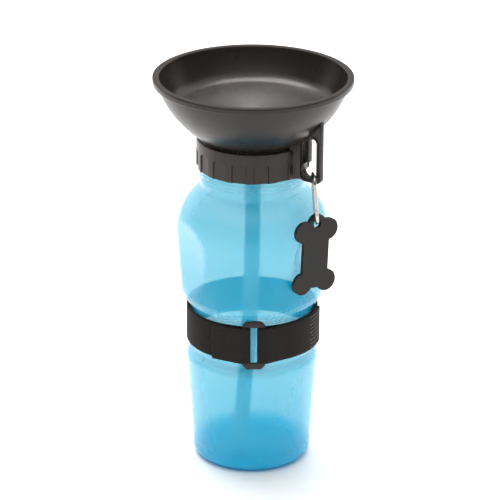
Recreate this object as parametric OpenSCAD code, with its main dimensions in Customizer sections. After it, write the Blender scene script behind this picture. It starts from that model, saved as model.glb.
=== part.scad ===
// Dog travel water bottle: a squeeze bottle whose screw cap opens into a drinking bowl.
// Squeezing the bottle pushes water up the dip tube into the bowl, and letting go draws it back.
// Millimetres, +Z up, origin on the floor at the centre of the bottle's foot, hanger arm along +X.

/* [Bottle] */
// Wall of the blow-moulded bottle
bottle_wall = 1.2; // [1:0.1:1.4]
// Height of the dome pushed up in the middle of the foot
foot_dome = 3; // [2:0.5:4]
// Radius of the round edge of the foot
foot_edge_r = 7.3; // [6:0.1:8]
// Distance from the axis to the centre of the foot's round edge
foot_edge_x = 30.9; // [30:0.1:31.5]
// Radius of the waist groove, which the strap goes round
groove_r = 38.4; // [37.5:0.1:38.8]
// Radius of the cup's round upper edge
cup_edge_r = 5.2; // [4.5:0.1:5.5]
// Height of the centre of the cup's round upper edge
cup_edge_z = 69.4; // [68:0.1:70]
// Height at which the groove turns out into the bulb
groove_top_z = 102.2; // [101:0.1:103]
// Radius of the bulb's lower edge
bulb_edge_r = 10; // [9:0.5:11]
// Height of the centre of the bulb's lower edge
bulb_edge_z = 119; // [118:0.5:120]
// Radius of the round shoulder over the bulb
shoulder_r = 34.75; // [34:0.05:35]
// Distance from the axis to the centre of the shoulder's curve
shoulder_x = 14.25; // [14:0.05:14.5]
// Height of the centre of the shoulder's curve, where the bulb is widest
shoulder_z = 157; // [156:0.5:158]
// Radius of the neck below the cap
neck_r = 33.2; // [33:0.1:33.4]

/* [Finger dishes] */
// Number of finger dishes round the bulb
dish_count = 3; // [2:1:3]
// Direction of the first dish, measured from the hanger arm
dish_turn = 4; // [0:1:10]
// Height of the middle of a dish
dish_z = 141.6; // [140:0.1:143]
// Distance from the axis to the bottom of a dish
dish_depth_x = 44; // [43.5:0.1:45]
// Upright radius of a dish, which is flat across
dish_r = 95; // [90:1:100]

/* [Neck and thread] */
// Outer radius of the threaded neck
thread_neck_r = 30; // [29.8:0.1:30.2]
// Bore radius of the neck
mouth_r = 28; // [27:0.1:28.2]
// Height of the ledge under the thread
neck_ledge_z = 198.9; // [198:0.1:199]
// Height of the neck's lip
lip_z = 228.4; // [228:0.1:228.5]
// Rise of the thread in one turn
thread_pitch = 5; // [4.5:0.1:5.5]
// Turns of thread on the neck
neck_thread_turns = 1.5; // [1:0.25:1.75]
// Turns of thread in the cap
cap_thread_turns = 1.25; // [1:0.25:1.5]
// Height at which the neck's thread starts
thread_start_z = 204; // [203.5:0.1:205]

/* [Bowl] */
// Outside diameter of the bowl's rim
rim_d = 127; // [126:0.5:130]
// Height of the rim's top
rim_z = 259; // [258.5:0.1:259.5]
// Outer radius of the round bowl
bowl_r = 63.6; // [63.5:0.1:63.8]
// Height of the centre of the bowl's round wall
bowl_centre_z = 274; // [273.8:0.1:274.2]
// Thickness of the bowl's wall
bowl_wall = 2.2; // [2:0.1:2.5]
// Height of the bowl's floor
floor_z = 232.5; // [232.3:0.1:232.7]
// Slope of the bowl's floor down to its hole
floor_slope = 8; // [5:0.5:10]
// Radius of the water hole in the bowl's floor
water_hole_r = 4; // [3:0.1:4.1]

/* [Cap collar] */
// Outer radius of the screw collar
collar_r = 36; // [35.8:0.1:36.2]
// Bore radius of the screw collar
collar_bore_r = 31.6; // [31.5:0.1:31.8]
// Height of the collar's lower edge
collar_z = 199.4; // [199.3:0.1:199.6]
// Height of the collar's upper ledge
ledge_z = 219.2; // [219:0.1:219.4]
// Grip recesses in a full turn, of which the arm takes the place of one
grip_count = 16; // [12:1:16]
// Width of a grip recess
grip_w = 9.6; // [8:0.1:10]
// Depth of a grip recess
grip_depth = 1.1; // [0.8:0.1:1.4]
// Height of the top of a grip recess
grip_top_z = 212.5; // [211:0.5:214]

/* [Hanger arm] */
// Distance from the axis to the arm's outer edge
arm_x = 53.6; // [53:0.1:54]
// Height of the arm's foot
arm_foot_z = 198.2; // [198:0.1:199.4]
// Thickness of the arm
arm_t = 3.2; // [3:0.1:3.6]
// Radius of the hollow that joins the arm to the collar
arm_root_r = 7; // [5:0.5:8]
// Radius of the round eye at the foot of the arm's slot
eye_r = 5; // [4.8:0.1:5.2]
// Distance from the axis to the middle of the eye
eye_x = 45.2; // [45:0.1:45.4]
// Height of the middle of the eye
eye_z = 206.5; // [206.4:0.1:207]
// Width of the slot
slot_w = 5.4; // [5:0.1:5.6]
// Height of the slot's top
slot_top_z = 227.3; // [225:0.1:228]
// Height of the centre of the slot's round foot
slot_foot_z = 204.4; // [204.2:0.1:204.8]

/* [Dip tube] */
// Outer radius of the dip tube
tube_r = 5.2; // [5:0.1:5.3]
// Wall of the dip tube
tube_wall = 1; // [0.8:0.1:1.2]
// Radius that the soft tube curls to below its straight top
tube_curl_r = 1120; // [1000:20:1400]
// Direction in which the tube curls, measured from the hanger arm
tube_curl_turn = 258; // [0:1:359]
// Height at which the curl starts
tube_curl_z = 167; // [150:1:180]
// Slope of the cut at the tube's foot
tube_cut = 26; // [15:1:35]

/* [Strap] */
// Width of the strap's webbing
strap_w = 24; // [22:0.5:25]
// Thickness of the webbing
strap_t = 1.6; // [1.4:0.1:1.8]
// Radius of the middle of the webbing round the waist
strap_r = 41.6; // [41.4:0.1:41.8]
// Height of the strap's middle
strap_z = 93.4; // [92:0.2:94]
// Direction of the strap ring, measured from the hanger arm
ring_turn = -52; // [-180:1:180]
// Angle from the ring to the end of the folded tongue
tongue_angle = 36.4; // [30:0.2:45]
// Angle from the ring to the sewn end
sewn_angle = 80; // [60:1:85]

/* [Strap ring] */
// Height of the strap ring
ring_h = 33; // [32:0.5:34]
// Width of the strap ring
ring_w = 14.5; // [14:0.1:15]
// Thickness of the strap ring
ring_t = 2; // [1.8:0.1:2.1]
// Width of the ring's window
window_w = 7.7; // [7.6:0.1:7.9]
// Distance from the axis to the ring's inner face
ring_x = 42.7; // [42.6:0.1:43]

/* [Snap hook] */
// Thickness of the hook's wire
wire_d = 2.4; // [2.2:0.1:2.5]
// Radius of the middle of the wire at the top of the hook
hook_top_r = 6.4; // [6:0.1:6.8]
// Radius of the middle of the wire at the foot of the hook
hook_foot_r = 5.4; // [5.2:0.1:5.8]
// Length of the hook between the middles of its end wires
hook_l = 31.05; // [30.5:0.05:31.5]
// Thickness of the gate's hinge pin
pin_d = 1.1; // [1:0.1:1.2]

/* [Bone tag] */
// Thickness of the tag
tag_t = 2.6; // [2.2:0.1:2.8]
// Radius of the bone's four knuckles
knuckle_r = 7.1; // [6.8:0.1:7.3]
// Distance across between the middles of two knuckles
knuckle_gap_x = 18.1; // [17:0.1:19]
// Distance down between the middles of two knuckles
knuckle_gap_z = 34.5; // [33:0.5:36]
// Width of the bone's shaft
shaft_w = 19.5; // [18:0.5:20]
// Outer radius of the tag's eye
tag_eye_r = 6.3; // [6:0.1:6.5]
// Radius of the hole in the tag's eye
tag_hole_r = 3.1; // [3:0.1:3.3]

/* [Hidden] */
$fn = 96;

// Angles of the bottle's outline, from straight out: side of the cup, its upper edge,
// the bulb's underside, the side of the bulb.
cup_side_a = -4.2;
cup_edge_a = 62;
bulb_under_a = -31.8;
bulb_side_a = -3.8;
fillet_r = 3;
// The neck's foot touches the shoulder's curve and the neck alike.
neck_fillet_x = neck_r + fillet_r;
neck_fillet_a = acos((neck_fillet_x - shoulder_x) / (shoulder_r + fillet_r));
neck_fillet_z = shoulder_z + (shoulder_r + fillet_r) * sin(neck_fillet_a);
// The hollow over the cup ends on the groove's wall.
groove_fillet_x = groove_r + fillet_r;
cup_edge_x = groove_fillet_x - (cup_edge_r + fillet_r) * cos(cup_edge_a);
groove_foot_z = cup_edge_z + (cup_edge_r + fillet_r) * sin(cup_edge_a);
// The bulb's lower edge touches the underside, which leaves the groove at its hollow.
under_from = [groove_fillet_x - fillet_r * cos(bulb_under_a), groove_top_z - fillet_r * sin(bulb_under_a)];
under_rise = bulb_edge_z + bulb_edge_r * sin(bulb_under_a) - under_from[1];
bulb_edge_x = under_from[0] - under_rise * tan(bulb_under_a) - bulb_edge_r * cos(bulb_under_a);

// The thread's ridges: half their width at the foot and at the crest, and how deep they are let in.
ridge_foot = 1.1;
ridge_crest = 0.6;
ridge_h = 1.3;
ridge_let_in = 0.4;
thread_steps = 36;

slot_x = eye_x + eye_r - slot_w / 2;
rim_r = rim_d / 2;
bowl_inner_r = bowl_r - bowl_wall;
floor_t = 2;
floor_under_z = floor_z - floor_t;
// The floor's line slopes up from the hole, and its hollow edge touches that line and the round wall.
floor_fillet = 10;
floor_from = [water_hole_r - floor_fillet * sin(floor_slope),
              floor_z + floor_fillet * cos(floor_slope) - bowl_centre_z];
floor_ahead = floor_from * [cos(floor_slope), sin(floor_slope)];
floor_run = sqrt(pow(floor_ahead, 2) - floor_from * floor_from + pow(bowl_inner_r - floor_fillet, 2)) - floor_ahead;
floor_fillet_x = floor_from[0] + floor_run * cos(floor_slope);
floor_fillet_z = floor_from[1] + floor_run * sin(floor_slope) + bowl_centre_z;
floor_fillet_a = atan2(floor_fillet_z - bowl_centre_z, floor_fillet_x);
rim_foot_z = rim_z - 3.8;
rim_round = 0.9;
stub_bore_r = tube_r + 0.03;
stub_r = tube_r + 1.7;
stub_z = 212;
seal_in_r = 26.6;
seal_out_r = 31.2;
seal_rib_r = 31.5;

// The strap ring's bars, and the bend of the webbing round them.
bar_y = window_w / 2;
bar_w = (ring_w - window_w) / 2;
bar_gap = 0.15;
bar_edge_r = 0.85;
lay_gap = 0.1;
inner_lay_x = strap_r;
outer_lay_x = ring_x + ring_t + bar_gap + strap_t / 2;
bend_r = (outer_lay_x - inner_lay_x) / 2;
bend_x = (outer_lay_x + inner_lay_x) / 2;
bend_y = bar_y - bar_gap + bend_r - strap_t / 2;
return_r = strap_r + strap_t + lay_gap;
tape_t = 0.8;
tongue_r = return_r + tape_t + lay_gap;
lay_down_angle = 27;
tape_angle = 29;

// Where the hook hangs in the arm's eye, its turn, and how it leans.
hook_at = [46.95, 0, 204.1];
hook_turn = -49;
hook_lean = -10.5;
hook_tip = 3.8;
gate_gap = 0.35;
gate_d = wire_d;
gate_fork = 1.3;
pin_clear = 0.05;
// The drawn straight stretches are a little thinner than the bends and run into their ends.
straight_d = wire_d - 0.16;
weld = 0.3;
hook_side_a = asin((hook_top_r - hook_foot_r) / (hook_l - hook_top_r - hook_foot_r));
hook_foot_w = hook_foot_r - hook_l;
nose_at = [hook_top_r * cos(hook_side_a), -hook_top_r + hook_top_r * sin(hook_side_a)];
hinge_at = [hook_foot_r * cos(hook_side_a), hook_foot_w + hook_foot_r * sin(hook_side_a)];
side_l = norm(nose_at - hinge_at);
pin_rise = 1.6;
gate_foot = 0.5;
nose_l = 2.4;
gate_l = side_l - nose_l - gate_gap;
spring_r = 0.5;
spring_wire_r = 0.14;
spring_turns = 7;
spring_l = 5.2;
spring_z = 3.4;
gate_bore_r = 0.75;

// Where the tag's eye hangs, its turn, and its small roll in its own plane.
tag_at = [51.9, -2.75, 172.8];
tag_turn = -18;
tag_roll = 2.6;
tag_drop = 4.9;

// Points of a circle's stretch, from angle a0 to a1.
function arc(c, r, a0, a1, n = 10) =
    [for (i = [0:n]) c + r * [cos(a0 + (a1 - a0) * i / n), sin(a0 + (a1 - a0) * i / n)]];

// The bottle's outline from the foot's middle to the neck's foot, moved in by w.
function bottle_outline(w) = concat(
    [[0, foot_dome + w], [12, foot_dome + w - 0.3], [24, 1 + w], [28, w]],
    arc([foot_edge_x, foot_edge_r], foot_edge_r - w, -90, cup_side_a),
    arc([cup_edge_x, cup_edge_z], cup_edge_r - w, cup_side_a, cup_edge_a),
    arc([groove_fillet_x, groove_foot_z], fillet_r + w, 180 + cup_edge_a, 180, 6),
    arc([groove_fillet_x, groove_top_z], fillet_r + w, 180, 180 + bulb_under_a, 6),
    arc([bulb_edge_x, bulb_edge_z], bulb_edge_r - w, bulb_under_a, bulb_side_a, 6),
    arc([shoulder_x, shoulder_z], shoulder_r - w, bulb_side_a, neck_fillet_a, 24),
    arc([neck_fillet_x, neck_fillet_z], fillet_r + w, 180 + neck_fillet_a, 180, 6));

// One ridge of thread: a right-handed helix whose ends run out.
module thread(foot_r, crest_r, turns, z0, a0) {
    n = ceil(turns * thread_steps);
    run_out = 4;
    pts = [for (i = [0:n])
        let (a = a0 + 360 * turns * i / n,
             z = z0 + thread_pitch * (a0 / 360 + turns * i / n),
             k = max(0.1, min(1, i / run_out, (n - i) / run_out)),
             r = foot_r + (crest_r - foot_r) * k,
             h = ridge_foot + (ridge_crest - ridge_foot) * k)
        for (p = [[foot_r, -ridge_foot], [r, -h], [r, h], [foot_r, ridge_foot]])
            [p[0] * cos(a), p[0] * sin(a), z + p[1]]];
    out = crest_r > foot_r;
    sides = [for (i = [0:n - 1]) for (j = [0:3])
        let (p = 4 * i + j, q = 4 * i + (j + 1) % 4)
        for (f = [[p, q, q + 4], [p, q + 4, p + 4]]) out ? f : [f[0], f[2], f[1]]];
    e = 4 * n;
    ends = [for (f = [[0, 2, 1], [0, 3, 2], [e, e + 1, e + 2], [e, e + 2, e + 3]])
        out ? f : [f[0], f[2], f[1]]];
    polyhedron(pts, concat(sides, ends), convexity = 8);
}

module dishes(grow) {
    for (i = [0:dish_count - 1])
        rotate([0, 0, dish_turn + 360 * i / dish_count])
        translate([dish_depth_x - grow + dish_r + grow, 0, dish_z])
        rotate([90, 0, 0])
        cylinder(r = dish_r + grow, h = 80, center = true, $fn = 200);
}

module bottle() {
    color([0.16, 0.72, 0.86, 0.7]) {
        difference() {
            difference() {
                union() {
                    rotate_extrude()
                    polygon(concat(bottle_outline(0),
                        [[neck_r, neck_ledge_z - 0.4], [neck_r - 0.4, neck_ledge_z],
                         [thread_neck_r, neck_ledge_z], [thread_neck_r, lip_z - 0.6],
                         [thread_neck_r - 0.6, lip_z], [0, lip_z]]));
                    for (z = [191.8, 193.9, 196])
                        translate([0, 0, z]) rotate_extrude() translate([neck_r, 0]) circle(r = 0.6, $fn = 24);
                }
                dishes(0);
            }
            difference() {
                rotate_extrude()
                polygon(concat(bottle_outline(bottle_wall),
                    [[neck_r - bottle_wall, neck_ledge_z - 3.5], [mouth_r, neck_ledge_z + 0.5],
                     [mouth_r, lip_z + 1], [0, lip_z + 1]]));
                dishes(bottle_wall);
            }
        }
        thread(thread_neck_r - ridge_let_in, thread_neck_r + ridge_h, neck_thread_turns, thread_start_z, 0);
    }
}

// The bowl, its floor, the screw collar and the tube's socket, turned round the axis.
module bowl_shell() {
    rotate_extrude()
    polygon(concat(
        [[rim_r, rim_z - rim_round], [rim_r, rim_foot_z + 0.5], [rim_r - 0.5, rim_foot_z]],
        arc([0, bowl_centre_z], bowl_r, -asin((bowl_centre_z - rim_foot_z) / bowl_r),
            -acos((collar_r - 1.4) / bowl_r), 24),
        [[collar_r - 1.5, ledge_z + 0.5], [collar_r - 1.2, ledge_z]],
        arc([collar_r - 0.8, ledge_z - 0.8], 0.8, 90, 0, 4),
        [[collar_r, collar_z + 0.5], [collar_r - 0.5, collar_z], [collar_bore_r + 0.6, collar_z],
         [collar_bore_r, collar_z + 0.8], [collar_bore_r, ledge_z + 0.6]],
        arc([0, bowl_centre_z], bowl_inner_r, -acos((collar_bore_r + 1.2) / bowl_inner_r),
            -asin((bowl_centre_z - floor_under_z) / bowl_inner_r), 8),
        [[seal_rib_r + 1.2, floor_under_z], [seal_rib_r + 1.1, floor_under_z - 1.4],
         [seal_rib_r, floor_under_z - 1.4], [seal_rib_r, floor_under_z], [stub_r, floor_under_z],
         [stub_r, stub_z], [stub_bore_r, stub_z], [stub_bore_r, floor_under_z], [water_hole_r, floor_under_z],
         [water_hole_r, floor_z - 1], [water_hole_r + 1, floor_z - 0.3]],
        arc([floor_fillet_x, floor_fillet_z], floor_fillet, floor_slope - 90, floor_fillet_a, 8),
        arc([0, bowl_centre_z], bowl_inner_r, floor_fillet_a,
            -asin((bowl_centre_z - rim_z + rim_round) / bowl_inner_r), 24),
        [[rim_r - 3.6, rim_z - 0.2], [rim_r - 2.6, rim_z]],
        arc([rim_r - rim_round, rim_z - rim_round], rim_round, 90, 10, 5)));
}

module grip_recess() {
    arch_r = 7.5;
    translate([collar_r - grip_depth, 0, 0])
    rotate([90, 0, 90])
    linear_extrude(4)
    intersection() {
        translate([-grip_w / 2, collar_z - 1]) square([grip_w, grip_top_z]);
        translate([0, grip_top_z - arch_r - 10]) square([40, 40], center = true);
        union() {
            translate([0, grip_top_z - arch_r]) circle(r = arch_r);
            translate([-grip_w / 2, collar_z - 1]) square([grip_w, grip_top_z - arch_r - collar_z + 1]);
        }
    }
}

// The arm's plate with its hollow roots, up to the middle of the bowl's wall.
module arm() {
    corner = 3.5;
    // The hollows bite a little into the collar and the plate, so that they meet them at an edge.
    bite = 0.15;
    root_y = arm_t / 2 + arm_root_r - bite;
    root_x = sqrt(pow(collar_r + arm_root_r - bite, 2) - pow(root_y, 2));
    foot_a = atan2(root_y, root_x) + 2;
    from_x = collar_bore_r + 1.6;
    difference() {
        union() {
            translate([0, arm_t / 2, 0])
            rotate([90, 0, 0])
            linear_extrude(arm_t)
            union() {
                polygon([[from_x, collar_z], [collar_r, collar_z], [collar_r + 5, arm_foot_z],
                         [arm_x - corner, arm_foot_z], [arm_x - corner, 250], [from_x, 250]]);
                translate([from_x, arm_foot_z + corner]) square([arm_x - from_x, 50]);
                translate([arm_x - corner, arm_foot_z + corner]) circle(r = corner);
            }
            translate([0, 0, collar_z])
            linear_extrude(40)
            difference() {
                polygon([[from_x, -5], (collar_r - 0.6) * [cos(foot_a), -sin(foot_a)], [root_x, -arm_t / 2 + 0.2],
                         [root_x, arm_t / 2 - 0.2], (collar_r - 0.6) * [cos(foot_a), sin(foot_a)], [from_x, 5]]);
                for (s = [-1, 1]) translate([root_x, s * root_y]) circle(r = arm_root_r);
            }
        }
        translate([0, 0, bowl_centre_z]) sphere(r = bowl_r - bowl_wall / 2, $fn = 200);
        translate([0, 20, 0])
        rotate([90, 0, 0])
        linear_extrude(40)
        union() {
            translate([eye_x, eye_z]) circle(r = eye_r);
            translate([slot_x - slot_w / 2, slot_foot_z]) square([slot_w, slot_top_z - slot_foot_z - slot_w / 2]);
            for (z = [slot_foot_z, slot_top_z - slot_w / 2]) translate([slot_x, z]) circle(r = slot_w / 2);
        }
    }
}

module bowl() {
    color([0.28, 0.27, 0.26, 0.85]) {
        difference() {
            union() {
                bowl_shell();
                arm();
            }
            for (i = [1:grip_count - 1])
                rotate([0, 0, 360 * i / grip_count]) grip_recess();
        }
        thread(collar_bore_r + ridge_let_in, collar_bore_r - ridge_h, cap_thread_turns,
               thread_start_z - thread_pitch / 2, 90);
    }
}

module neck_seal() {
    color([0.85, 0.86, 0.84])
    translate([0, 0, lip_z + 0.05])
    difference() {
        cylinder(r = seal_out_r, h = floor_under_z - lip_z - 0.1);
        translate([0, 0, -1]) cylinder(r = seal_in_r, h = 5);
    }
}

module dip_tube() {
    curl = asin((tube_curl_z - 4) / tube_curl_r);
    foot_x = tube_curl_r * (1 - cos(curl));
    color([0.8, 0.9, 0.92, 0.6])
    rotate([0, 0, tube_curl_turn])
    difference() {
        union() {
            translate([0, 0, tube_curl_z])
            difference() {
                cylinder(r = tube_r, h = floor_under_z - 0.1 - tube_curl_z);
                translate([0, 0, -1]) cylinder(r = tube_r - tube_wall, h = 80);
            }
            translate([tube_curl_r, 0, tube_curl_z])
            rotate([90, 0, 0])
            rotate([0, 0, 180])
            rotate_extrude(angle = curl, $fn = 2400)
            translate([tube_curl_r, 0])
            difference() {
                circle(r = tube_r, $fn = 96);
                circle(r = tube_r - tube_wall, $fn = 96);
            }
        }
        translate([foot_x, 0, 9.5])
        rotate([0, 0, -40])
        rotate([0, tube_cut, 0])
        translate([-15, -15, -30])
        cube(30);
    }
}

// The closed outline of a band of thickness t along a middle line.
function side_of(p, t) = let (n = len(p))
    [for (i = [0:n - 1])
        let (d = p[min(i + 1, n - 1)] - p[max(i - 1, 0)])
        p[i] + t / 2 * [-d[1], d[0]] / norm(d)];
function band_outline(p, t) = let (a = side_of(p, t), b = side_of(p, -t))
    concat(a, [for (i = [len(b) - 1:-1:0]) b[i]]);
function mirrored(p) = [for (i = [len(p) - 1:-1:0]) [p[i][0], -p[i][1]]];

// The middle line from the waist round one bar and back over it to a lay of radius r.
function bar_wrap(r, end_a) = concat(
    arc([bend_x, bend_y], bend_r, 180, 360, 12),
    [[outer_lay_x, bar_y + bar_w + 0.6]],
    arc([0, 0], r, lay_down_angle, end_a, 16));

module band(p, t, w) {
    translate([0, 0, strap_z - w / 2])
    linear_extrude(w)
    polygon(band_outline(p, t));
}

module strap_band() {
    start_a = asin(bend_y / strap_r) + 1;
    color([0.2, 0.19, 0.18])
    rotate([0, 0, ring_turn])
    band(concat(
        mirrored(bar_wrap(tongue_r, tongue_angle)),
        arc([0, 0], strap_r, -start_a, start_a - 360, 60),
        bar_wrap(return_r, sewn_angle)), strap_t, strap_w);
}

module hook_tape() {
    color([0.1, 0.1, 0.1])
    rotate([0, 0, ring_turn])
    band(arc([0, 0], strap_r + strap_t / 2 + lay_gap + tape_t / 2, -tape_angle, -tongue_angle, 6),
         tape_t, strap_w - 1);
}

// A square with round corners, from its low corner.
module round_square(size, r) {
    for (x = [r, size[0] - r]) for (y = [r, size[1] - r]) translate([x, y]) circle(r = r, $fn = 24);
    translate([r, 0]) square([size[0] - 2 * r, size[1]]);
    translate([0, r]) square([size[0], size[1] - 2 * r]);
}

// Two end plates, and two bars with round edges that the webbing bends round.
module strap_ring() {
    tab_w = 9.4;
    slope = (ring_w - tab_w) / 2;
    window_h = strap_w + 0.4;
    color([0.14, 0.14, 0.13])
    rotate([0, 0, ring_turn])
    translate([ring_x, 0, strap_z]) {
        rotate([90, 0, 90])
        linear_extrude(ring_t)
        difference() {
            polygon([[-tab_w / 2, -ring_h / 2], [tab_w / 2, -ring_h / 2],
                     [ring_w / 2, -ring_h / 2 + slope], [ring_w / 2, ring_h / 2 - slope],
                     [tab_w / 2, ring_h / 2], [-tab_w / 2, ring_h / 2],
                     [-ring_w / 2, ring_h / 2 - slope], [-ring_w / 2, -ring_h / 2 + slope]]);
            square([ring_w + 1, window_h], center = true);
        }
        for (s = [-1, 1])
            translate([0, s * (bar_y + bar_w / 2) - bar_w / 2, -window_h / 2 - 0.5])
            linear_extrude(window_h + 1) round_square([ring_t, bar_w], bar_edge_r);
    }
}

// Places a piece drawn in the hook's own frame: X across it, Y through it, Z up it, top wire at 0.
module hook_frame() {
    translate(hook_at)
    rotate([0, 0, hook_turn])
    rotate([0, hook_lean, 0])
    rotate([hook_tip, 0, 0])
    children();
}

// Puts a piece on the line of the gate, with Z from the hinge to the nose.
module gate_line() {
    translate([hinge_at[0], 0, hinge_at[1]])
    rotate([0, hook_side_a, 0])
    children();
}

module wire_arc(c, r, a0, a1) {
    translate([c[0], 0, c[1]])
    rotate([90, 0, 0])
    rotate([0, 0, a0])
    rotate_extrude(angle = a1 - a0)
    translate([r, 0])
    circle(d = wire_d, $fn = 32);
}

module hook_body() {
    color("silver")
    hook_frame()
    difference() {
        union() {
            wire_arc([0, -hook_top_r], hook_top_r, hook_side_a, 180 - hook_side_a);
            wire_arc([0, hook_foot_w], hook_foot_r, 180 - hook_side_a, 360 + hook_side_a);
            translate([-hinge_at[0], 0, hinge_at[1]])
            rotate([0, -hook_side_a, 0])
            translate([0, 0, -weld]) cylinder(d = straight_d, h = side_l + 2 * weld, $fn = 32);
            gate_line() translate([0, 0, side_l - nose_l]) cylinder(d = straight_d, h = nose_l + weld, $fn = 32);
            gate_line()
            intersection() {
                translate([0, 0, -weld]) cylinder(d = straight_d, h = pin_rise + 1.2 + weld, $fn = 32);
                translate([-2, -gate_fork / 2 + 0.1, -weld]) cube([4, gate_fork - 0.2, 9]);
            }
        }
        gate_line() translate([0, 0, pin_rise]) rotate([90, 0, 0])
        cylinder(d = pin_d, h = 6, center = true, $fn = 24);
    }
}

module hook_gate() {
    color([0.72, 0.73, 0.75])
    hook_frame()
    gate_line()
    difference() {
        translate([0, 0, gate_foot]) cylinder(d = gate_d, h = gate_l - gate_foot, $fn = 32);
        translate([-2, -gate_fork / 2, -1]) cube([4, gate_fork, spring_z + 0.9]);
        translate([0, 0, 2]) cylinder(r = gate_bore_r, h = spring_z + spring_l - 1.7, $fn = 24);
        translate([0, 0, pin_rise]) rotate([90, 0, 0])
        cylinder(d = pin_d + 2 * pin_clear, h = 6, center = true, $fn = 24);
    }
}

module gate_pin() {
    color([0.6, 0.6, 0.6])
    hook_frame()
    gate_line()
    translate([0, 0, pin_rise])
    rotate([90, 0, 0])
    cylinder(d = pin_d, h = wire_d + 0.3, center = true, $fn = 24);
}

// The coil in the gate that pushes it shut.
module gate_spring() {
    rings = spring_turns * 8;
    sides = 6;
    pts = [for (i = [0:rings]) for (j = [0:sides - 1])
        let (a = 360 * spring_turns * i / rings, b = 360 * j / sides,
             r = spring_r + spring_wire_r * cos(b))
        [r * cos(a), r * sin(a), spring_l * i / rings + spring_wire_r * sin(b)]];
    walls = [for (i = [0:rings - 1]) for (j = [0:sides - 1])
        let (p = sides * i + j, q = sides * i + (j + 1) % sides)
        for (f = [[p, q + sides, p + sides], [p, q, q + sides]]) f];
    last = sides * rings;
    caps = [for (j = [1:sides - 2]) for (f = [[0, j + 1, j], [last, last + j, last + j + 1]]) f];
    color([0.55, 0.55, 0.57])
    hook_frame()
    gate_line()
    translate([0, 0, spring_z])
    polyhedron(pts, concat(walls, caps), convexity = 10);
}

module bone_tag() {
    color([0.22, 0.21, 0.2])
    translate(tag_at)
    rotate([0, 0, tag_turn])
    rotate([-tag_roll, 0, 0])
    translate([-tag_t / 2, 0, 0])
    rotate([90, 0, 90])
    linear_extrude(tag_t)
    difference() {
        union() {
            circle(r = tag_eye_r);
            translate([0, -tag_drop - knuckle_gap_z / 2]) {
                square([shaft_w, knuckle_gap_z + 7], center = true);
                for (x = [-1, 1]) for (z = [-1, 1])
                    translate([x * knuckle_gap_x / 2, z * knuckle_gap_z / 2]) circle(r = knuckle_r);
            }
        }
        circle(r = tag_hole_r);
    }
}

bottle();
bowl();
neck_seal();
dip_tube();
strap_band();
hook_tape();
strap_ring();
hook_body();
hook_gate();
gate_pin();
gate_spring();
bone_tag();
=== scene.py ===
from math import acos, asin, atan2, cos, degrees, hypot, pi, radians, sin, sqrt, tan

import bpy
from mathutils import Matrix, Vector


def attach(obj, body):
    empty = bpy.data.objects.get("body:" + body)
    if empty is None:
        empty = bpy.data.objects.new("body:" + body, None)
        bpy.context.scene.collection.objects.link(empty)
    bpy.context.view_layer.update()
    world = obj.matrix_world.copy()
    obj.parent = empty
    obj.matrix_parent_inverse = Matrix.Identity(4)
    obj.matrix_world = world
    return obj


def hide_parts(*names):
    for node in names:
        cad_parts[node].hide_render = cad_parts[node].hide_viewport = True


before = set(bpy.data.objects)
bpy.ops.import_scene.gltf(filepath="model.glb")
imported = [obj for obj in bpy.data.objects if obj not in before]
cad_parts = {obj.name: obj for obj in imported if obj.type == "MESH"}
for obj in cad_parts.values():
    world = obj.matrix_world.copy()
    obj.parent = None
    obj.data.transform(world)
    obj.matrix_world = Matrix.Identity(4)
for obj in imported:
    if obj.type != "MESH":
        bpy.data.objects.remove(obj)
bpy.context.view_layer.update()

# ---- Bottle ----------------------------------------------------------------
# One blow-moulded squeeze bottle in clear blue soft plastic, a little milky. It is
# turned from its outline with a thin even wall, and three finger dishes are pressed
# into the bulb. The neck ends in a lip, with a thread that the bowl screws on.

mm = 0.001


def arc(centre, r, a0, a1, n):
    """Points on a stretch of a circle, from angle a0 to a1 in degrees."""
    turns = [radians(a0 + (a1 - a0) * i / n) for i in range(n + 1)]
    return [(centre[0] + r * cos(a), centre[1] + r * sin(a)) for a in turns]


def close_set(points, step):
    """The same line with points no further apart than step."""
    out = [points[0]]
    for a, b in zip(points, points[1:]):
        n = max(1, int(hypot(b[0] - a[0], b[1] - a[1]) / step + 0.999))
        out += [tuple(p + (q - p) * i / n for p, q in zip(a, b)) for i in range(1, n + 1)]
    return out


def edit(obj=None, select="SELECT"):
    """Opens one object in edit mode with all of it selected, or none of it."""
    if obj:
        bpy.ops.object.select_all(action="DESELECT")
        bpy.context.view_layer.objects.active = obj
        obj.select_set(True)
    bpy.ops.object.mode_set(mode="EDIT")
    bpy.ops.mesh.select_all(action=select)


def leave():
    bpy.ops.object.mode_set(mode="OBJECT")
    return bpy.context.object


def draw_line(name, points, closed=False):
    """A chain of edges in millimetres: a circle whose points are moved to their places."""
    bpy.ops.object.select_all(action="DESELECT")
    bpy.ops.mesh.primitive_circle_add(vertices=len(points), radius=mm)
    obj = bpy.context.object
    obj.name = obj.data.name = name
    ends = {0, len(points) - 1}
    for v, p in zip(obj.data.vertices, points):
        v.co = Vector(p) * mm
        v.select = v.index in ends
    if not closed:
        for e in obj.data.edges:
            e.select = set(e.vertices) == ends
        bpy.ops.object.mode_set(mode="EDIT")
        bpy.ops.mesh.delete(type="EDGE")
        leave()
    return obj


def knit(obj):
    """Merges doubles and turns every face outwards."""
    edit(obj)
    bpy.ops.mesh.remove_doubles(threshold=1e-6)
    bpy.ops.mesh.normals_make_consistent(inside=False)
    return leave()


def lathe(name, outline, steps):
    """Turns an outline of (radius, height) points in millimetres round the axis."""
    obj = draw_line(name, [(x, 0, z) for x, z in outline])
    edit(obj)
    bpy.ops.mesh.spin(steps=steps, angle=2 * pi, center=(0, 0, 0), axis=(0, 0, 1))
    leave()
    return knit(obj)


def join(obj, *others):
    bpy.ops.object.select_all(action="DESELECT")
    for o in (obj, *others):
        o.select_set(True)
    bpy.context.view_layer.objects.active = obj
    bpy.ops.object.join()
    return obj


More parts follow.
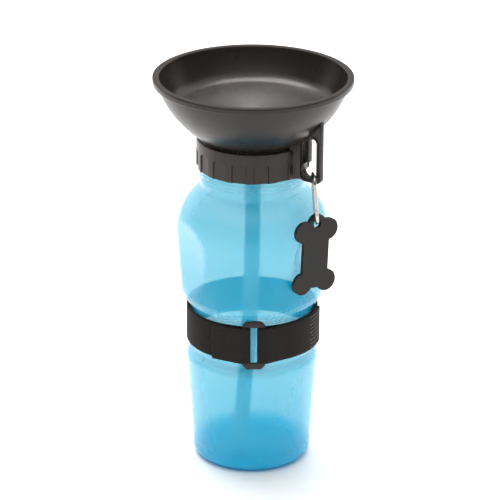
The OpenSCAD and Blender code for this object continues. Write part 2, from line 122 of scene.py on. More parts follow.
def modify(obj, kind, **settings):
    """Adds a modifier and applies it."""
    bpy.ops.object.select_all(action="DESELECT")
    bpy.context.view_layer.objects.active = obj
    obj.select_set(True)
    m = obj.modifiers.new(kind.lower(), kind)
    for name, value in settings.items():
        setattr(m, name, value)
    bpy.ops.object.modifier_apply(modifier=m.name)
    return obj


def smooth(obj, angle=35):
    bpy.ops.object.select_all(action="DESELECT")
    bpy.context.view_layer.objects.active = obj
    obj.select_set(True)
    bpy.ops.object.shade_smooth_by_angle(angle=radians(angle))
    return obj


def reshape(obj, move):
    """Moves every vertex by a function of its place in millimetres."""
    for v in obj.data.vertices:
        v.co = Vector(move(*(v.co / mm))) * mm
    obj.data.update()
    return obj


class Value:
    """A socket of a material's nodes. Sums and products of it add Math nodes."""

    def __init__(self, tree, socket=None):
        self.tree, self.socket = tree, socket

    def add(self, kind, settings=None, inputs=None, out=0):
        """Adds any other node: its type, its settings, then values or links for its sockets."""
        node = self.tree.nodes.new("ShaderNode" + kind)
        for name, value in (settings or {}).items():
            if name == "stops":
                ramp = node.color_ramp.elements
                while len(ramp) < len(value):
                    ramp.new(0.5)
                for element, (place, shade) in zip(ramp, value):
                    element.position, element.color = place, shade
            else:
                setattr(node, name, value)
        for name, value in (inputs or {}).items():
            if isinstance(value, Value):
                self.tree.links.new(value.socket, node.inputs[name])
            else:
                node.inputs[name].default_value = value
        return Value(self.tree, node.outputs[out])

    def maths(self, operation, *values):
        return self.add("Math", {"operation": operation}, dict(enumerate(values)))

    def __add__(self, other):
        return self.maths("ADD", self, other)

    def __sub__(self, other):
        return self.maths("SUBTRACT", self, other)

    def __rsub__(self, other):
        return self.maths("SUBTRACT", other, self)

    def __mul__(self, other):
        return self.maths("MULTIPLY", self, other)

    def __truediv__(self, other):
        return self.maths("DIVIDE", self, other)

    __radd__, __rmul__ = __add__, __mul__

    def clamp(self, low=0.0, high=1.0):
        return self.maths("MINIMUM", self.maths("MAXIMUM", self, low), high)

    def soft(self, low, high):
        """0 below low, 1 above high, and a smooth rise between them."""
        t = ((self - low) / (high - low)).clamp()
        return t * t * (3 - 2 * t)

    def shade(self, a, b):
        """The colour a where this value is 0, b where it is 1."""
        colours = {0: self, 6: a, 7: b}
        return self.add("Mix", {"data_type": "RGBA"}, colours, 2)


def finish(name, **plain):
    """A new material with its Principled shader's own constants. Returns it and its nodes."""
    mat = bpy.data.materials.new(name)
    mat.use_nodes = True
    skin = mat.node_tree.nodes["Principled BSDF"]
    for socket, value in plain.items():
        skin.inputs[socket.replace("_", " ")].default_value = value
    return mat, Value(mat.node_tree), skin


def feed(skin, **signals):
    for socket, value in signals.items():
        skin.id_data.links.new(value.socket, skin.inputs[socket.replace("_", " ")])


def places(nodes, scale=(1, 1, 1)):
    """Object coordinates, stretched by scale."""
    at = nodes.add("TexCoord", out=3)
    return nodes.add("VectorMath", {"operation": "MULTIPLY"}, {0: at, 1: scale})


def noise(at, scale, detail=2.0, rough=0.5):
    inputs = {"Vector": at, "Scale": scale, "Detail": detail, "Roughness": rough}
    return at.add("TexNoise", None, inputs)


def bump(height, depth, strength=1.0):
    return height.add("Bump", None, {"Height": height, "Distance": depth, "Strength": strength})


def dress(obj, mat, body, slot, *nodes):
    """Gives a finished piece its material and its body, and hides the nodes it stands for. The slot argument
    is not used.
    """
    obj.data.materials.clear()
    obj.data.materials.append(mat)
    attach(obj, body)
    if nodes:
        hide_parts(*nodes)
    return obj


bottle_wall = 1.2
foot_dome = 3
neck_r = 33.2
thread_neck_r = 30
mouth_r = 28
ridge_h, ridge_foot, ridge_crest, thread_pitch, thread_z = 1.3, 1.1, 0.6, 5, 204
neck_turns, run_out = 540, 40
neck_ledge_z = 198.9
lip_z = 228.4
fillet = 3
cup_side, cup_edge, bulb_under, bulb_side = -4.2, 62, -31.8, -3.8
shoulder, shoulder_r = (14.25, 157), 34.75
neck_foot_x = neck_r + fillet
neck_foot = degrees(acos((neck_foot_x - shoulder[0]) / (shoulder_r + fillet)))
neck_foot_z = shoulder[1] + (shoulder_r + fillet) * sin(radians(neck_foot))
groove_x = 38.4 + fillet
cup_edge_at = (groove_x - (5.2 + fillet) * cos(radians(cup_edge)), 69.4)
groove_foot_z = cup_edge_at[1] + (5.2 + fillet) * sin(radians(cup_edge))
groove_top_z = 102.2
under_from = (groove_x - fillet * cos(radians(bulb_under)), groove_top_z - fillet * sin(radians(bulb_under)))
under_rise = 119 + 10 * sin(radians(bulb_under)) - under_from[1]
bulb_edge_at = (under_from[0] - under_rise * tan(radians(bulb_under)) - 10 * cos(radians(bulb_under)), 119)


def bottle_outline(w):
    """The bottle's outline from the foot's middle to the neck, moved in by w."""
    foot = [(0, foot_dome + w), (6, foot_dome + w - 0.08), (12, foot_dome + w - 0.3), (18, 2.05 + w)]
    return (
        foot
        + [(24, 1 + w), (28, w + 0.12)]
        + arc((30.9, 7.3), 7.3 - w, -90, cup_side, 16)
        + arc(cup_edge_at, 5.2 - w, cup_side, cup_edge, 12)
        + arc((groove_x, groove_foot_z), fillet + w, 180 + cup_edge, 180, 8)
        + arc((groove_x, groove_top_z), fillet + w, 180, 180 + bulb_under, 6)
        + arc(bulb_edge_at, 10 - w, bulb_under, bulb_side, 8)
        + arc(shoulder, shoulder_r - w, bulb_side, neck_foot, 30)
        + arc((neck_foot_x, neck_foot_z), fillet + w, 180 + neck_foot, 180, 8)
    )


def bead(z):
    """A low ring round the neck."""
    return arc((neck_r, z), 0.6, -90, 90, 6)


dish_turns = [radians(4 + 120 * i) for i in range(3)]
dish_z, dish_x, dish_r, dish_soft = 141.6, 44, 95, 1.3


def press_dishes(w):
    """A move that presses the finger dishes into a wall that lies w inside the outline."""

    def move(x, y, z):
        for turn in dish_turns:
            c, s = cos(turn), sin(turn)
            out, across = x * c + y * s, y * c - x * s
            if out < 20 or abs(z - dish_z) > 60:
                continue
            face = dish_x - w + dish_r + w - sqrt((dish_r + w) ** 2 - (z - dish_z) ** 2)
            near = max(dish_soft - abs(out - face), 0) / dish_soft
            out = min(out, face) - near * near * dish_soft / 4
            x, y = out * c - across * s, out * s + across * c
        return x, y, z

    return move


def ridge(x, y, z, first, last, start):
    """Height of a thread's ridge at a point. It climbs from the angle first to last, in degrees."""
    turn = degrees(atan2(y, x)) % 360
    height = 0
    for a in (turn, turn + 360):
        if first <= a <= last:
            k = min(1, (a - first) / run_out, (last - a) / run_out)
            side = (ridge_foot - abs(z - start - thread_pitch * a / 360)) / (ridge_foot - ridge_crest)
            height = max(height, ridge_h * k * max(0, min(1, side)))
    return height


def cut_thread(x, y, z):
    """Grows the thread on the neck."""
    r = hypot(x, y)
    if z < neck_ledge_z + 0.3 or r < thread_neck_r - 0.05:
        return x, y, z
    k = 1 + ridge(x, y, z, 0, neck_turns, thread_z) / r
    return x * k, y * k, z


steps = 240
outer = close_set(bottle_outline(0), 2.2)
for z in (191.8, 193.9, 196):
    outer += bead(z)
outer += [(neck_r, 198), (neck_r - 0.15, neck_ledge_z - 0.2), (neck_r - 0.5, neck_ledge_z)]
outer += [(thread_neck_r + 0.4, neck_ledge_z), (thread_neck_r, neck_ledge_z + 0.4)]
outer += close_set([(thread_neck_r, neck_ledge_z + 0.6), (thread_neck_r, lip_z - 0.6)], 0.4)
outer += [(thread_neck_r - 0.2, lip_z - 0.15), (29.4, lip_z)]
inner = [(28.5, lip_z), (mouth_r, lip_z - 0.5), (mouth_r, neck_ledge_z + 0.5)]
inner += [(neck_r - bottle_wall, neck_ledge_z - 3.5)]
inner += close_set(bottle_outline(bottle_wall)[::-1], 2.2)
bottle = reshape(reshape(lathe("bottle_shell", outer, steps), press_dishes(0)), cut_thread)
inside = reshape(lathe("bottle_inside", [outer[-1]] + inner, steps), press_dishes(bottle_wall))
knit(join(bottle, inside))
smooth(bottle)

blue, nodes, skin = finish("clear_blue_plastic", IOR=1.5, Specular_IOR_Level=0.9)
at = places(nodes)
height = nodes.add("SeparateXYZ", None, {0: at}, 2)
thick = (1.0 - height / 0.012).clamp()
cloud = noise(at, 35, 3)
scuffs = noise(places(nodes, (1, 1, 0.15)), 260, 4, 0.65)
tone = cloud.shade((0.006, 0.62, 0.9, 1), (0.012, 0.67, 0.95, 1))
feed(
    skin,
    Base_Color=thick.shade(tone, (0.0, 0.56, 0.86, 1)),
    Roughness=0.1 + 0.14 * scuffs,
    Normal=bump(noise(at, 60, 1), 0.0003, 0.12),
)
clear = nodes.add("BsdfTransparent", None, {"Color": (0.965, 0.985, 0.95, 1)})
glow = nodes.add("BsdfTranslucent", None, {"Color": (0.006, 0.66, 0.93, 1)})
edge = nodes.add("LayerWeight", None, {"Blend": 0.5}, 1)
milk = (0.38 + 0.06 * cloud + 0.5 * thick).clamp()
plastic = nodes.add("MixShader", None, {0: 0.4, 1: Value(nodes.tree, skin.outputs[0]), 2: glow})
body = nodes.add("MixShader", None, {0: milk, 1: clear, 2: plastic})
gloss = nodes.add("BsdfGlossy", None, {"Color": (1, 1, 1, 1), "Roughness": 0.12})
body = nodes.add("MixShader", None, {0: (0.3 * edge * edge * edge).clamp(), 1: body, 2: gloss})
nodes.tree.links.new(body.socket, nodes.tree.nodes["Material Output"].inputs["Surface"])
dress(bottle, blue, "flask", "bottle_clear", "bottle")

# ---- Bowl cap --------------------------------------------------------------
# The drinking bowl, its rolled rim, the screw collar and the hanger arm are one
# moulding in smoke-grey see-through plastic. It is turned from its outline, the
# grips are pressed into the collar, and the arm's plate is grown on with its roots.

rim_r, rim_z = 63.5, 259
bowl_r, bowl_wall, bowl_z = 63.6, 2.2, 274
bowl_in = bowl_r - bowl_wall
floor_z, floor_under = 232.5, 230.5
collar_r, collar_bore, collar_z, ledge_z = 36, 31.6, 199.4, 219.2
floor_round, floor_slope = 10, radians(8)
water_hole_r = 4
ahead = Vector((cos(floor_slope), sin(floor_slope)))
floor_from = Vector((water_hole_r, floor_z - bowl_z)) + floor_round * Vector((-ahead.y, ahead.x))
run = floor_from.dot(ahead)
reach = sqrt(run * run - floor_from.length_squared + (bowl_in - floor_round) ** 2)
floor_at = floor_from + (reach - run) * ahead
floor_x, floor_up = floor_at.x, floor_at.y + bowl_z
floor_a = degrees(atan2(floor_at.y, floor_x))
stub_r, stub_bore, stub_z = 6.9, 5.23, 212


def at_height(r, z):
    """Angle of a point at height z on the bowl's round wall of radius r."""
    return -degrees(asin((bowl_z - z) / r))


def at_radius(r, x):
    return -degrees(acos(x / r))


grip_count, grip_w, grip_depth, grip_top, grip_edge, arch_r = 16, 9.6, 1.1, 212.5, 0.4, 7.5
collar_rows = [ledge_z - 0.8, 216.5, 215, 214, 213.2, grip_top, grip_top - grip_edge, 211, 209.5, 207]
collar_rows += [204.5, 202, collar_z + 0.5]
rim_foot = 255.2
outline = (
    arc((rim_r - 0.9, rim_z - 0.9), 0.9, 0, -10, 1)
    + [(rim_r, rim_foot + 0.5)]
    + arc((rim_r - 0.5, rim_foot + 0.5), 0.5, 0, -90, 3)
    + arc((0, bowl_z), bowl_r, at_height(bowl_r, rim_foot) - 0.3, at_radius(bowl_r, collar_r - 1.1), 34)
    + [(collar_r - 1.5, ledge_z + 0.6), (collar_r - 1.2, ledge_z)]
    + arc((collar_r - 0.8, ledge_z - 0.8), 0.8, 90, 0, 5)
    + [(collar_r, z) for z in collar_rows]
    + arc((collar_r - 0.5, collar_z + 0.5), 0.5, 0, -90, 3)
    + [(collar_bore + 0.6, collar_z)]
    + close_set([(collar_bore, collar_z + 0.8), (collar_bore, 211), (collar_bore, ledge_z + 0.6)], 0.45)
    + arc((0, bowl_z), bowl_in, at_radius(bowl_in, collar_bore + 1.2), at_height(bowl_in, floor_under), 8)
    + [(32.7, floor_under), (32.6, floor_under - 1.4), (31.5, floor_under - 1.4), (31.5, floor_under)]
    + [(stub_r + 0.6, floor_under), (stub_r, floor_under - 0.6), (stub_r, stub_z + 0.3)]
    + [(stub_r - 0.3, stub_z), (stub_bore, stub_z), (stub_bore, floor_under)]
    + [(water_hole_r, floor_under), (water_hole_r, floor_z - 1)]
    + arc((water_hole_r + 1, floor_z - 0.9), 1, 180, 98, 4)
    + arc((floor_x, floor_up), floor_round, degrees(floor_slope) - 90, floor_a, 12)
    + arc((0, bowl_z), bowl_in, floor_a, at_height(bowl_in, rim_z - 1.6), 34)
    + arc((rim_r - 3.4, rim_z - 0.8), 0.8, 170, 90, 4)
    + arc((rim_r - 0.9, rim_z - 0.9), 0.9, 90, 0, 6)
)
half_pitch = pi * collar_r / grip_count
grip_lines = [0, 1.2, 2.4, 3.4, 4.0, grip_w / 2 - grip_edge, grip_w / 2, 5.1, 5.5, 6.0, 6.4, 6.8, half_pitch]


def press_grips(x, y, z):
    """Slides the collar's lines to the arched grips and presses these in. The arm has the first place."""
    if z > ledge_z - 0.7 or z < collar_z - 1 or hypot(x, y) < collar_r - 1:
        return x, y, z
    pitch = 2 * pi / grip_count
    turn = pitch * round(atan2(y, x) / pitch)
    across = (atan2(y, x) - turn + pi) % (2 * pi) - pi
    k = abs(across) * collar_r / half_pitch * (len(grip_lines) - 1)
    i = min(int(k), len(grip_lines) - 2)
    along = grip_lines[i] + (grip_lines[i + 1] - grip_lines[i]) * (k - i)
    a = turn + (along / collar_r if across > 0 else -along / collar_r)
    r = hypot(x, y)
    chord = r * sin(along / collar_r)
    drop = arch_r - sqrt(arch_r**2 - min(chord, grip_w / 2) ** 2)
    follow = max(0, min(1, (z - 203) / 8, (216.6 - z) / 4.1))
    z -= drop * follow
    inside = min(grip_w / 2 - chord, grip_top - drop - z) / grip_edge
    out = r * cos(along / collar_r)
    if inside > 0 and abs(turn) > 0.1:
        out += (min(out, collar_r - grip_depth) - out) * min(inside, 1)
    side = chord if across > 0 else -chord
    c, s = cos(turn), sin(turn)
    return out * c - side * s, out * s + side * c, z


def cut_cap_thread(x, y, z):
    """Grows the thread inside the collar."""
    r = hypot(x, y)
    if abs(r - collar_bore) > 0.05 or z > ledge_z + 0.5:
        return x, y, z
    k = 1 - ridge(x, y, z, 90, 540, thread_z - thread_pitch / 2) / r
    return x * k, y * k, z


bowl = reshape(reshape(lathe("bowl_cap", outline, 384), press_grips), cut_cap_thread)

arm_x, arm_t, corner, arm_foot_z = 53.6, 3.2, 3.5, 198.2
eye_x, eye_z, eye_r = 45.2, 206.5, 5
slot_w, slot_top, slot_foot = 5.4, 227.3, 204.4
slot_x = eye_x + eye_r - slot_w / 2
arm_from, arm_sphere = collar_bore + 1.6, bowl_r - bowl_wall / 2


def plate(name, outline, low, high, upright=True):
    """A flat plate: its outline, filled and extruded. It stands along Y, or lies along Z."""
    place = (lambda u, v: (u, low, v)) if upright else (lambda u, v: (u, v, low))
    edit(draw_line(name, [place(*p) for p in outline], closed=True))
    bpy.ops.mesh.edge_face_add()
    step = (0, (high - low) * mm, 0) if upright else (0, 0, (high - low) * mm)
    bpy.ops.mesh.extrude_region_move(TRANSFORM_OT_translate={"value": step})
    leave()
    return knit(bpy.context.object)


def cut(obj, tool, operation="DIFFERENCE"):
    modify(obj, "BOOLEAN", operation=operation, object=tool, solver="EXACT")
    bpy.data.objects.remove(tool)
    return obj


under_bowl = arc((0, bowl_z), arm_sphere, at_radius(arm_sphere, arm_x), at_radius(arm_sphere, arm_from), 14)
blade = [(arm_from, collar_z), (collar_r, collar_z), (collar_r + 5, arm_foot_z)]
blade += arc((arm_x - corner, arm_foot_z + corner), corner, -90, 0, 8) + under_bowl
arm = plate("arm", blade, -arm_t / 2, arm_t / 2)
root_y = arm_t / 2 + 7 - 0.15
root_x = sqrt((collar_r + 7 - 0.15) ** 2 - root_y**2)
root_a = degrees(atan2(root_y, root_x)) + 2
foot_x, foot_y = (collar_r - 0.6) * cos(radians(root_a)), (collar_r - 0.6) * sin(radians(root_a))
hollow = arc((root_x, root_y), 7, 180 + root_a, 270, 10)
root = [(arm_from, -5), (foot_x, -foot_y)] + [(x, -y) for x, y in hollow] + hollow[::-1]
root += [(foot_x, foot_y), (arm_from, 5)]
roots = plate("roots", root, collar_z, 236, upright=False)


def meet_bowl(x, y, z):
    """Lets the roots' top end inside the bowl's wall."""
    return (x, y, bowl_z - sqrt(arm_sphere**2 - x * x - y * y)) if z > 230 else (x, y, z)


reshape(roots, meet_bowl)
cut(arm, roots, "UNION")
web_t, border, spine_x = 1.9, 1.15, 38.6


def keyhole(grow):
    """The slot with the round eye at its foot, as two cutters grown outwards."""
    eye = arc((eye_x, eye_z), eye_r + grow, 0, 360, 48)[:-1]
    slot = arc((slot_x, slot_top - slot_w / 2), slot_w / 2 + grow, 0, 180, 16)
    slot += arc((slot_x, slot_foot), slot_w / 2 + grow, 180, 360, 16)
    return plate("slot", slot, -10, 10), plate("eye", eye, -10, 10)


# The raised border round the arm and its slot is what two shallow pockets leave.
pocket = [(spine_x, collar_z + 1.6), (collar_r + 5, arm_foot_z + border)]
pocket += arc((arm_x - corner, arm_foot_z + corner), corner - border, -90, 0, 8)
far_x, near_x, pocket_r = arm_x - border, 43.5, arm_sphere + 2.4
pocket += arc((0, bowl_z), pocket_r, at_radius(pocket_r, far_x), at_radius(pocket_r, near_x), 8)
pocket += arc((spine_x + 4, 222.5), 4, 90, 180, 6)
for low, high in ((-10, -web_t / 2), (web_t / 2, 10)):
    hollow = plate("pocket", pocket, low, high)
    for tool in keyhole(border):
        cut(hollow, tool)
    cut(arm, hollow)
for tool in keyhole(0):
    cut(arm, tool)
modify(arm, "BEVEL", width=0.25 * mm, segments=2, limit_method="ANGLE", angle_limit=radians(40))
join(bowl, arm)
smooth(bowl)

smoke, nodes, skin = finish("smoke_plastic", IOR=1.5, Specular_Tint=(1, 0.93, 0.88, 1))
flow = noise(places(nodes, (1, 1, 0.3)), 30, 3)
streaks = noise(places(nodes, (1, 1, 0.12)), 170, 4, 0.6)
height = nodes.add("SeparateXYZ", None, {0: places(nodes)}, 2)
rim_matt = 0.85 * height.soft(0.2586, 0.2589)
gloss = 0.22 + 0.16 * streaks
feed(
    skin,
    Base_Color=flow.shade((0.009, 0.006, 0.0045, 1), (0.013, 0.009, 0.007, 1)),
    Roughness=gloss.maths("MAXIMUM", gloss, rim_matt),
    Normal=bump(flow, 0.0003, 0.15),
)
clear = nodes.add("BsdfTransparent", None, {"Color": (1, 0.92, 0.86, 1)})
edge = nodes.add("LayerWeight", None, {"Blend": 0.5}, 1)
dense = (0.93 + 0.07 * edge).clamp()
body = nodes.add("MixShader", None, {0: dense, 1: clear, 2: Value(nodes.tree, skin.outputs[0])})
nodes.tree.links.new(body.socket, nodes.tree.nodes["Material Output"].inputs["Surface"])
dress(bowl, smoke, "cap", "bowl_smoke", "bowl")

# ---- Neck seal -------------------------------------------------------------
# A flat soft ring pressed under the bowl's floor, where it closes on the bottle's lip.
# It has rounded edges and shows only as a paler band through the bowl.

seal_low, seal_high = lip_z + 0.05, floor_under - 0.05
ring = arc((30.8, seal_high - 0.4), 0.4, 0, 90, 3) + arc((27, seal_high - 0.4), 0.4, 90, 180, 3)
ring += arc((27, seal_low + 0.4), 0.4, 180, 270, 3) + arc((30.8, seal_low + 0.4), 0.4, 270, 360, 3)
seal = smooth(lathe("neck_seal_ring", ring + ring[:1], 128), 60)
pale, nodes, skin = finish("seal_silicone", Roughness=0.5, Subsurface_Weight=0.2)
feed(skin, Base_Color=noise(places(nodes), 200).shade((0.68, 0.7, 0.68, 1), (0.76, 0.78, 0.76, 1)))
dress(seal, pale, "seal", "seal", "neck_seal")

# ---- Dip tube --------------------------------------------------------------
# A soft tube pushed on the socket under the bowl's floor. It curls a little to one
# side on its way down, and its foot is cut on the slant so that it can't shut itself.

tube_r, tube_wall, curl_r, curl_turn, curl_z = 5.2, 1, 1120, radians(258), 167
tube_top = floor_under - 0.1
tube_cut = radians(26)


def curl(x, y, z):
    """Bends the straight tube below curl_z round a wide circle."""
    if z >= curl_z:
        return x, y, z
    a = (curl_z - z) / curl_r
    c, s = cos(curl_turn), sin(curl_turn)
    across, along = y * c - x * s, x * c + y * s
    reach = curl_r - (curl_r - along) * cos(a)
    return reach * c - across * s, reach * s + across * c, curl_z - (curl_r - along) * sin(a)


sleeve = close_set([(tube_r, tube_top - 0.3), (tube_r, 0)], 6)
tube_bore = tube_r - tube_wall
sleeve = [(tube_r - 0.3, tube_top)] + sleeve + close_set([(tube_bore, 0), (tube_bore, tube_top)], 6)
tube = reshape(lathe("dip_tube_soft", sleeve + [sleeve[0]], 64), curl)
curl_a = asin((curl_z - 4) / curl_r)
foot_out = curl_r * (1 - cos(curl_a))
foot_at = Vector((foot_out * cos(curl_turn), foot_out * sin(curl_turn), 9.5)) * mm
slant = Matrix.Rotation(curl_turn - radians(40), 3, "Z") @ Matrix.Rotation(tube_cut, 3, "Y")
slant = slant @ Vector((0, 0, 1))
edit(tube)
bpy.ops.mesh.bisect(plane_co=foot_at, plane_no=slant, clear_inner=True, use_fill=True)
leave()
smooth(tube, 40)
soft, nodes, skin = finish("tube_plastic", Roughness=0.3, IOR=1.45)
drawn = noise(places(nodes, (1, 1, 0.1)), 160)
feed(skin, Base_Color=drawn.shade((0.8, 0.87, 0.88, 1), (0.88, 0.93, 0.94, 1)))
clear = nodes.add("BsdfTransparent", None, {"Color": (0.9, 0.96, 0.98, 1)})
body = nodes.add("MixShader", None, {0: 0.45, 1: clear, 2: Value(nodes.tree, skin.outputs[0])})
nodes.tree.links.new(body.socket, nodes.tree.nodes["Material Output"].inputs["Surface"])
dress(tube, soft, "cap", "tube_clear", "dip_tube")

# ---- Strap -----------------------------------------------------------------
# One length of black webbing round the waist. Its free end goes through the ring and
# back on itself, held by hook tape, and its other end is folded round the ring's
# second bar and sewn down with slanted rows of stitches.

strap_w, strap_t, strap_r, strap_z = 24, 1.6, 41.6, 93.4
ring_turn, tongue_end, sewn_end = radians(-52), 36.4, 80
ring_h, ring_w, ring_t, window_w, ring_x = 33, 14.5, 2, 7.7, 42.7
bar_y, bar_w, bar_gap = window_w / 2, (ring_w - window_w) / 2, 0.15
lay_gap, tape_t = 0.1, 0.8
outer_lay = ring_x + ring_t + bar_gap + strap_t / 2
bend_r = (outer_lay - strap_r) / 2
bend_at = ((outer_lay + strap_r) / 2, bar_y - bar_gap + bend_r - strap_t / 2)
return_r = strap_r + strap_t + lay_gap
tongue_r = return_r + tape_t + lay_gap
start_a = degrees(asin(bend_at[1] / strap_r)) + 1


def bar_wrap(r, end):
    """The strap's middle line from the waist round one bar and back over it."""
    bend = arc(bend_at, bend_r, 180, 360, 16) + [(outer_lay, bar_y + bar_w + 0.6)]
    return bend + arc((0, 0), r, 27, end, 20)


def even(points, step):
    """The same line through evenly spaced points."""
    run = [0.0]
    for a, b in zip(points, points[1:]):
        run.append(run[-1] + hypot(b[0] - a[0], b[1] - a[1]))
    n = round(run[-1] / step)
    out, k = [], 0
    for i in range(n + 1):
        d = run[-1] * i / n
        while k < len(run) - 2 and run[k + 1] < d:
            k += 1
        t = (d - run[k]) / max(run[k + 1] - run[k], 1e-9)
        a, b = points[k], points[k + 1]
        out.append((a[0] + (b[0] - a[0]) * t, a[1] + (b[1] - a[1]) * t))
    return out, run[-1]


def web(name, line, width, thick, rows):
    """A flat band on edge: a grid laid along a line seen from above, then given thickness."""
    points, length = even(line, 1.0)
    n = len(points) - 1
    bpy.ops.object.select_all(action="DESELECT")
    bpy.ops.mesh.primitive_grid_add(x_subdivisions=n, y_subdivisions=rows, size=1)
    obj = bpy.context.object
    obj.name = obj.data.name = name
    c, s = cos(ring_turn), sin(ring_turn)
    for v in obj.data.vertices:
        x, y = points[round((v.co.x + 0.5) * n)]
        v.co = Vector((x * c - y * s, x * s + y * c, strap_z + v.co.y * width)) * mm
    modify(obj, "SOLIDIFY", thickness=thick * mm, offset=0, use_even_offset=True)
    return obj, length


whole = [(x, -y) for x, y in bar_wrap(tongue_r, tongue_end)[::-1]]
whole += arc((0, 0), strap_r, -start_a, start_a - 360, 120) + bar_wrap(return_r, sewn_end)
strap, strap_length = web("strap_webbing", whole, strap_w, strap_t, 12)
modify(strap, "BEVEL", width=0.4 * mm, segments=2, limit_method="ANGLE", angle_limit=radians(50))
smooth(strap, 50)
black, nodes, skin = finish(
    "black_webbing", Roughness=0.85, Specular_IOR_Level=0.2, Sheen_Weight=0.04, Sheen_Tint=(1, 0.9, 0.8, 1)
)
uv = nodes.add("TexCoord", out=2)
cells = nodes.add("VectorMath", {"operation": "MULTIPLY"}, {0: uv, 1: (strap_length / 1.1, strap_w / 1.1, 1)})
along = nodes.add("SeparateXYZ", None, {0: cells})
across = Value(nodes.tree, along.socket.node.outputs[1])
weave = along.maths("SINE", along * pi) * across.maths("SINE", across * pi)
fuzz = noise(places(nodes), 1500, 3)
# The webbing's long middle part is a soft loop pile, and only its two ends show the weave.
part = nodes.add("SeparateXYZ", None, {0: uv})
tongue_part = even(bar_wrap(tongue_r, tongue_end), 1)[1] / strap_length
sewn_part = even(bar_wrap(return_r, sewn_end), 1)[1] / strap_length
velvet = part.soft(tongue_part, tongue_part + 0.01) * (1 - part.soft(0.99 - sewn_part, 1 - sewn_part))
weave = weave * (1 - velvet)
pale_yarn = (0.5 - 0.2 * velvet + 0.3 * weave + (0.5 + velvet) * (fuzz - 0.5)).clamp()
feed(
    skin,
    Base_Color=pale_yarn.shade((0.004, 0.0032, 0.0027, 1), (0.03, 0.025, 0.0215, 1)),
    Normal=bump(0.5 * weave + fuzz, 0.0003, 0.8),
)
dress(strap, black, "strap", "webbing", "strap_band")

stitch_rows, stitch_pitch, stitch_l, stitch_r, stitch_sunk = 9, 2.65, 3.4, 0.28, 0.06
row_stitches, first_stitch, stitch_step, row_shift = 4, 58, 5, 1.5
stitch_out = return_r + strap_t / 2 - stitch_sunk
stitches = []
for row in range(stitch_rows):
    z = strap_z + (row - (stitch_rows - 1) / 2) * stitch_pitch
    for k in range(row_stitches):
        a = radians(first_stitch + stitch_step * k + row_shift * (row % 2)) + ring_turn
        bpy.ops.mesh.primitive_uv_sphere_add(segments=10, ring_count=8, radius=1)
        stitch = bpy.context.object
        stitch.scale = (stitch_r * mm, stitch_l / 2 * mm, stitch_r * mm)
        stitch.rotation_euler = (radians(2), 0, a)
        stitch.location = Vector((stitch_out * cos(a), stitch_out * sin(a), z)) * mm
        stitches.append(stitch)
thread = join(*stitches)
thread.name = thread.data.name = "strap_stitches"
bpy.ops.object.select_all(action="DESELECT")
thread.select_set(True)
bpy.context.view_layer.objects.active = thread
bpy.ops.object.transform_apply(location=True, rotation=True, scale=True)
smooth(thread, 60)
grey, nodes, skin = finish("sewing_thread", Roughness=0.8, Specular_IOR_Level=0.2)
twist = noise(places(nodes), 3000, 1)
feed(skin, Base_Color=twist.shade((0.1, 0.092, 0.085, 1), (0.24, 0.22, 0.2, 1)))
dress(thread, grey, "strap", "webbing")

tape_r = strap_r + strap_t / 2 + lay_gap + tape_t / 2
tape, _ = web("hook_tape_strip", arc((0, 0), tape_r, -29, -tongue_end, 8), strap_w - 1, tape_t, 12)
smooth(tape, 50)
rough, nodes, skin = finish("hook_tape_black", Roughness=0.9, Specular_IOR_Level=0.2)
bristle = noise(places(nodes), 1800, 1)
feed(
    skin,
    Base_Color=bristle.shade((0.006, 0.006, 0.006, 1), (0.03, 0.028, 0.027, 1)),
    Normal=bump(bristle, 0.0004, 1.0),
)
dress(tape, rough, "strap", "webbing", "hook_tape")

# ---- Strap ring ------------------------------------------------------------
# One moulded plastic ring that stands upright, with two tapered end plates and two
# bars that the webbing bends round.

tab_w = 9.4
slope = (ring_w - tab_w) / 2
window_h = strap_w + 0.4
half_w, half_h, half_tab = ring_w / 2, ring_h / 2, tab_w / 2
frame_line = [(half_tab, half_h), (half_w, half_h - slope), (half_w, slope - half_h), (half_tab, -half_h)]
frame_line += [(-u, -v) for u, v in frame_line]
buckle = plate("strap_ring_moulding", frame_line, 0, ring_t)
window = [(bar_y, window_h / 2), (-bar_y, window_h / 2), (-bar_y, -window_h / 2), (bar_y, -window_h / 2)]
cut(buckle, plate("window", window, -5, 5))
modify(buckle, "BEVEL", width=0.5 * mm, segments=3, limit_method="ANGLE", angle_limit=radians(30))
turned = Matrix.Rotation(ring_turn, 3, "Z")
for v in buckle.data.vertices:
    x, y, z = v.co / mm
    v.co = turned @ Vector((ring_x + y, -x, strap_z + z)) * mm
knit(buckle)
smooth(buckle)
dark, nodes, skin = finish("ring_plastic_black", Specular_IOR_Level=0.4, Specular_Tint=(1, 0.9, 0.82, 1))
grain = noise(places(nodes), 2500, 2)
feed(
    skin,
    Base_Color=grain.shade((0.016, 0.0125, 0.0105, 1), (0.03, 0.025, 0.022, 1)),
    Roughness=0.35 + 0.2 * grain,
)
dress(buckle, dark, "strap", "ring_plastic", "strap_ring")

# ---- Snap hook -------------------------------------------------------------
# A small snap hook of bright bent wire. Its gate is a straight arm on a rivet, with a
# fork over the wire's flattened end, pushed shut by a coil inside it.

steel, nodes, skin = finish("bright_wire", Metallic=1.0, Roughness=0.2)
streak = noise(places(nodes, (1, 1, 0.2)), 900, 3)
feed(
    skin,
    Base_Color=streak.shade((0.5, 0.46, 0.41, 1), (0.7, 0.65, 0.59, 1)),
    Roughness=0.14 + 0.16 * streak,
)
pins, nodes, skin = finish("rivet_steel", Metallic=1.0, Roughness=0.35)
feed(skin, Base_Color=noise(places(nodes), 1200).shade((0.4, 0.39, 0.38, 1), (0.56, 0.55, 0.54, 1)))
for name, mat in (("hook_body", steel), ("hook_gate", steel), ("gate_pin", pins), ("gate_spring", pins)):
    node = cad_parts[name]
    node.data.materials.clear()
    node.data.materials.append(mat)

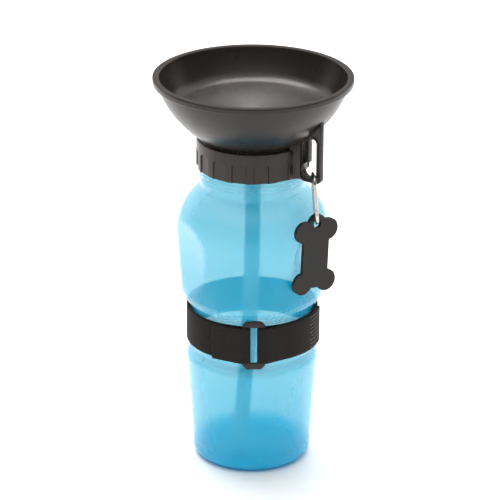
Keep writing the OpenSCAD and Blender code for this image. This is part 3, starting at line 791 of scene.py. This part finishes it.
# ---- Bone tag --------------------------------------------------------------
# A flat moulded rubber tag shaped as a bone, with an eye at its top. It hangs on the
# snap hook.

rubber, nodes, skin = finish("tag_rubber", Roughness=0.6, Specular_IOR_Level=0.35)
grain = noise(places(nodes), 1400, 3)
feed(
    skin,
    Base_Color=grain.shade((0.018, 0.0145, 0.0125, 1), (0.03, 0.025, 0.022, 1)),
    Normal=bump(grain, 0.0001, 0.6),
)
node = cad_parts["bone_tag"]
node.data.materials.clear()
node.data.materials.append(rubber)

# ---- Studio ----------------------------------------------------------------
# A white floor, a bright backdrop all round that is dimmer on the camera's side, one
# large soft lamp above, and the camera where the photograph was taken from.

bpy.ops.object.select_all(action="DESELECT")
bpy.ops.mesh.primitive_plane_add(size=30)
ground = bpy.context.object
ground.name = "studio_floor"
paper, nodes, skin = finish("white_paper", Roughness=0.9, Specular_IOR_Level=0.2)
feed(skin, Base_Color=noise(places(nodes), 3).shade((0.93, 0.93, 0.93, 1), (0.95, 0.95, 0.95, 1)))
ground.data.materials.append(paper)

towards = Vector((1.0814, -1.4614, 0))
camera_at = Vector((1.0814, -1.4614, 0.881))
world = bpy.data.worlds.new("studio")
bpy.context.scene.world = world
world.use_nodes = True
air = Value(world.node_tree)
way = air.add("TexCoord", out=0)
side = air.add("VectorMath", {"operation": "DOT_PRODUCT"}, {0: way, 1: towards.normalized()}, 1)
high = air.add("SeparateXYZ", None, {0: way}, 2).soft(0.5, 0.8)
behind = (0.0 - side).soft(0.1, 0.6)
glow = world.node_tree.nodes["Background"]
level = 0.12 + 1.4 * behind.maths("MAXIMUM", behind, high * 0.9)
world.node_tree.links.new(level.socket, glow.inputs["Strength"])
glow.inputs["Color"].default_value = (1, 1, 1, 1)

spot = Vector((-0.35, 0.25, 1.4))
bpy.ops.object.light_add(type="AREA", location=spot)
lamp = bpy.context.object
lamp.name = "soft_box_above"
lamp.data.size, lamp.data.energy = 1.0, 22
lamp.rotation_euler = (Vector((0, 0, 0.1)) - spot).to_track_quat("-Z", "Y").to_euler()

bpy.ops.object.camera_add()
camera = bpy.context.object
camera.data.lens, camera.data.sensor_width = 220.2, 36
heading = Matrix.Rotation(radians(36.55), 4, "Z")
tilt = Matrix.Rotation(radians(90 - 22.15), 4, "X")
roll = Matrix.Rotation(radians(0.27), 4, "Z")
camera.matrix_world = Matrix.Translation(camera_at) @ heading @ tilt @ roll
camera.data.clip_start, camera.data.clip_end = 0.1, 60
bpy.context.scene.camera = camera
bpy.context.scene.view_settings.view_transform = "Standard"
